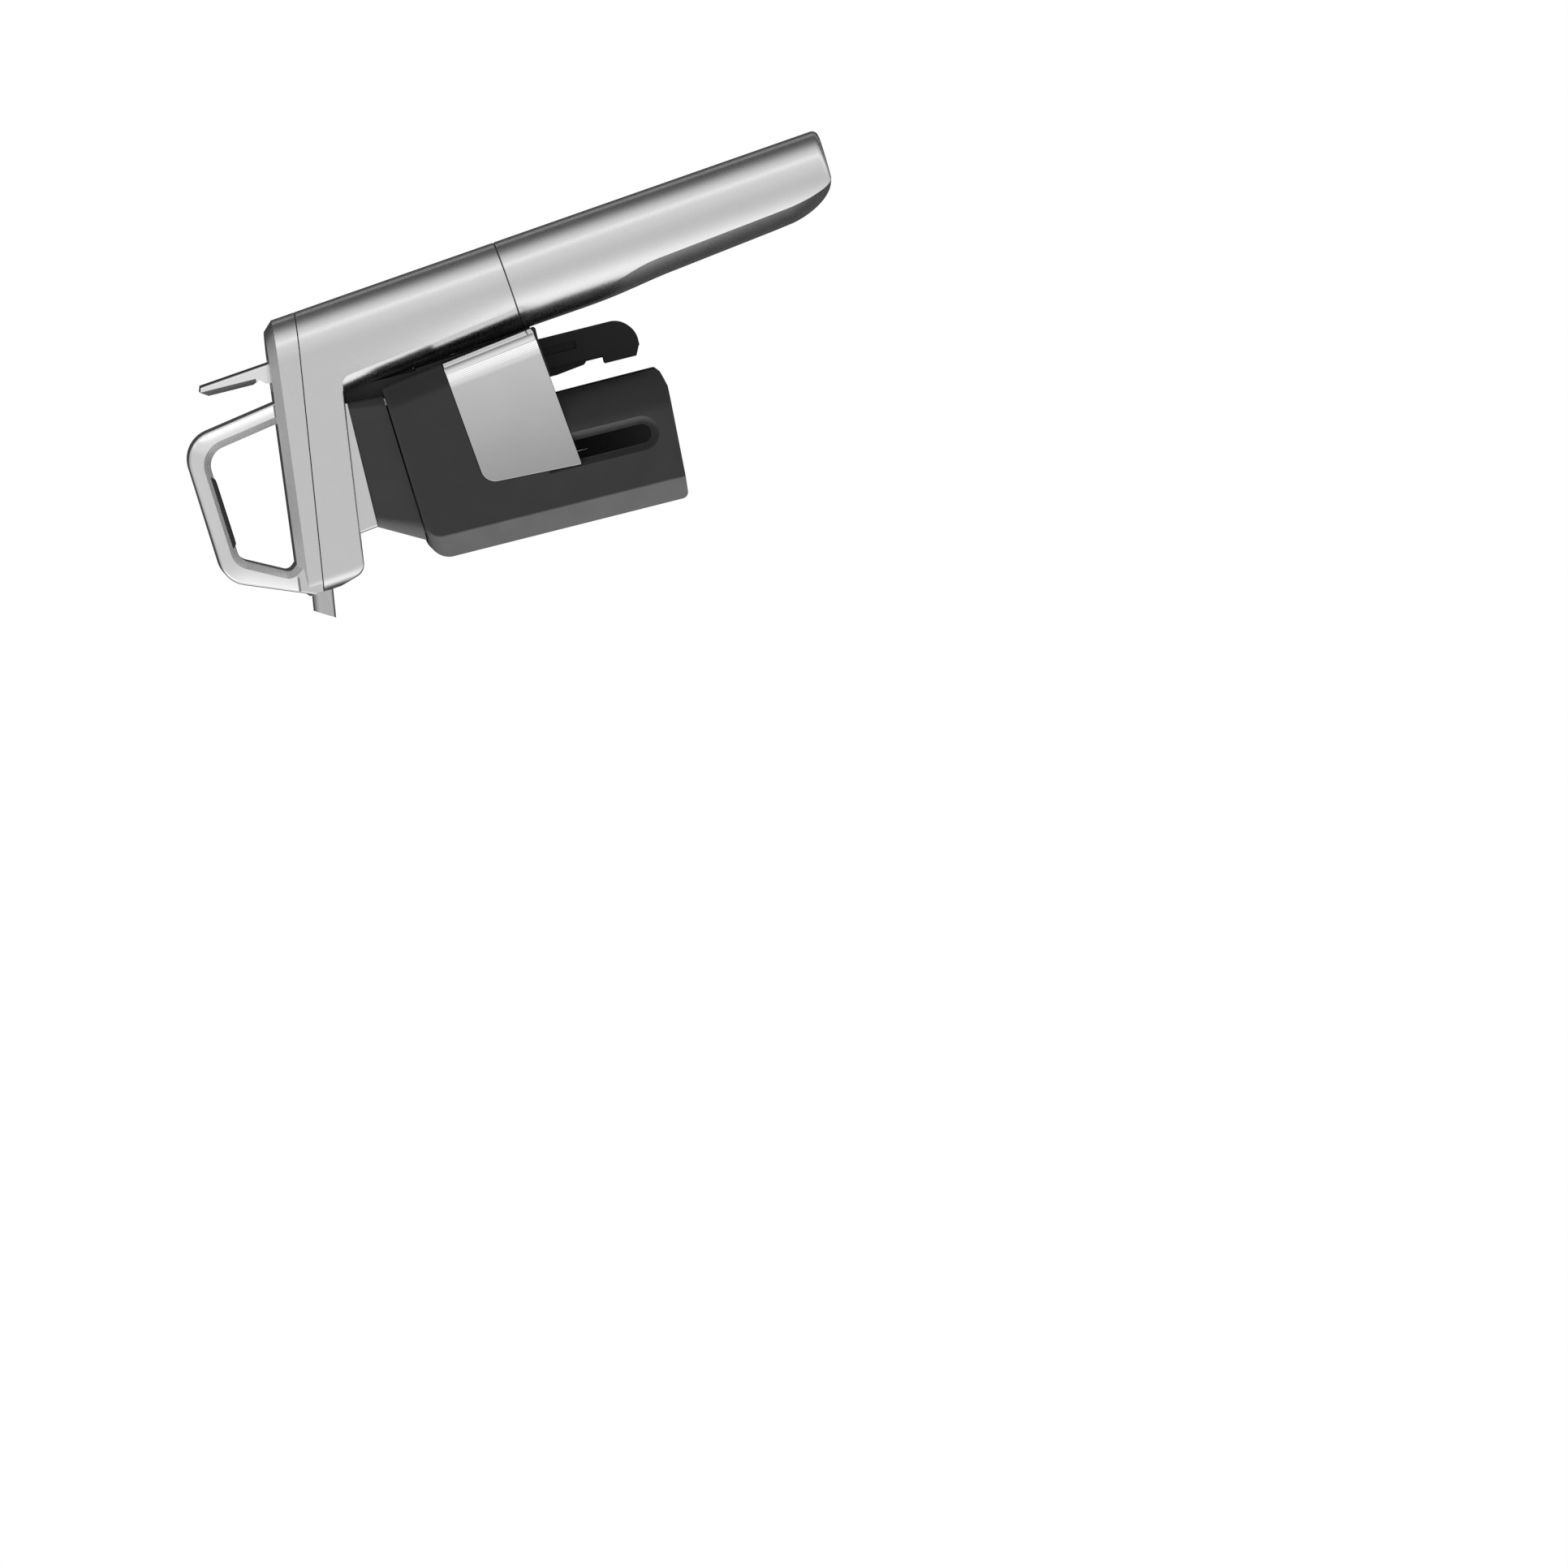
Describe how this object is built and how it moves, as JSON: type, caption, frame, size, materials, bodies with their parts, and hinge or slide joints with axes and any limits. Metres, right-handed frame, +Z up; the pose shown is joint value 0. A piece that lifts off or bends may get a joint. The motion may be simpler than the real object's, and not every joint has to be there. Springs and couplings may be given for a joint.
{
  "type": "wine preservation dispenser",
  "caption": "Hand-held dispenser that clamps on a wine bottle's neck, pierces the cork with a needle and pours through a trigger-operated spout.",
  "frame": {"origin": "on the axis of the bottle's neck, in the plane of its mouth, where the lip seat rests", "axes": "+Z up the bottle's axis, out of its mouth; +X towards the pouring spout; the handle hangs beside the bottle on -X; symmetric in Y"},
  "size_m": [0.1099, 0.0408, 0.2143],
  "materials": {
    "satin_metal": "fine satin metallic",
    "bright_plate": "polished",
    "jaw_plastic": "fine matt moulding",
    "rail_plastic": "satin black moulding",
    "glide_plastic": "natural white",
    "soft_rubber": "matt",
    "steel": "bright steel",
    "brass": "machined",
    "capsule_steel": "drawn steel"
  },
  "bodies": {
    "clamp": {"clamp_core": "jaw_plastic", "clamp_spine": "jaw_plastic", "rail_glides": "glide_plastic", "needle_guide": "brass", "lip_seat": "soft_rubber", "hinge_pins": "steel", "jaw_springs": "steel"},
    "jaw_left": {"jaw_left": "jaw_plastic", "side_plate_left": "bright_plate", "grip_pads_left": "soft_rubber"},
    "jaw_right": {"jaw_right": "jaw_plastic", "side_plate_right": "bright_plate", "grip_pads_right": "soft_rubber"},
    "head": {"rear_housing": "satin_metal", "front_cap": "satin_metal", "finger_pad": "soft_rubber", "base_plate": "satin_metal", "base_screws": "steel", "slide_rail": "rail_plastic", "rail_strip": "rail_plastic", "rail_screws": "steel", "manifold": "glide_plastic", "needle_hub": "steel", "hub_seal": "soft_rubber", "needle": "steel", "spout": "steel", "trigger_pin": "steel", "trigger_spring": "steel", "valve_spring": "steel", "thread_collar": "brass", "regulator_body": "brass", "capsule_seal": "soft_rubber", "piercing_pin": "steel", "regulator_spring": "steel", "regulator_bonnet": "brass", "gas_tube": "steel"},
    "trigger": {"trigger": "bright_plate"},
    "valve": {"valve_stem": "steel"},
    "piston": {"regulator_piston": "brass"},
    "capsule": {"gas_capsule": "capsule_steel"},
    "cup": {"capsule_cup": "satin_metal"}
  },
  "joints": [
    {"name": "head_slide", "type": "slide", "parent": "clamp", "child": "head", "axis": [0, 0, 1], "range_m": [0, 0.058]},
    {"name": "jaw_left_hinge", "type": "hinge", "parent": "clamp", "child": "jaw_left", "pos_m": [-0.0295, 0.0121, -0.02], "axis": [0, 0, 1], "range_deg": [0, 14], "stiffness_Nm_per_rad": 2, "springref_deg": -14.32},
    {"name": "jaw_right_hinge", "type": "hinge", "parent": "clamp", "child": "jaw_right", "pos_m": [-0.0295, -0.0121, -0.02], "axis": [0, 0, -1], "range_deg": [0, 14], "stiffness_Nm_per_rad": 2, "springref_deg": -14.32},
    {"name": "trigger_pivot", "type": "hinge", "parent": "head", "child": "trigger", "pos_m": [-0.0465, 0, 0.018], "axis": [0, 1, 0], "range_deg": [0, 8], "stiffness_Nm_per_rad": 0.8, "springref_deg": -14.32},
    {"name": "valve_slide", "type": "slide", "parent": "head", "child": "valve", "axis": [0.9921, 0, 0.1253], "range_m": [0, 0.00085]},
    {"name": "piston_slide", "type": "slide", "parent": "head", "child": "piston", "axis": [0.0924, 0, 0.9957], "range_m": [0, 0.0006], "stiffness_N_per_m": 4000, "springref_m": -0.0005},
    {"name": "capsule_slide", "type": "slide", "parent": "head", "child": "capsule", "axis": [-0.0924, 0, -0.9957], "range_m": [0, 0.01]},
    {"name": "cup_turn", "type": "hinge", "parent": "capsule", "child": "cup", "pos_m": [-0.0546, 0, -0.0422], "axis": [-0.0924, 0, -0.9957], "range_deg": [0, 1440]}
  ],
  "couplings": [
    {"joint": "valve_slide", "follows": "trigger_pivot", "m_per_rad": 0.006},
    {"joint": "capsule_slide", "follows": "cup_turn", "m_per_rad": 0.00039789}
  ]
}
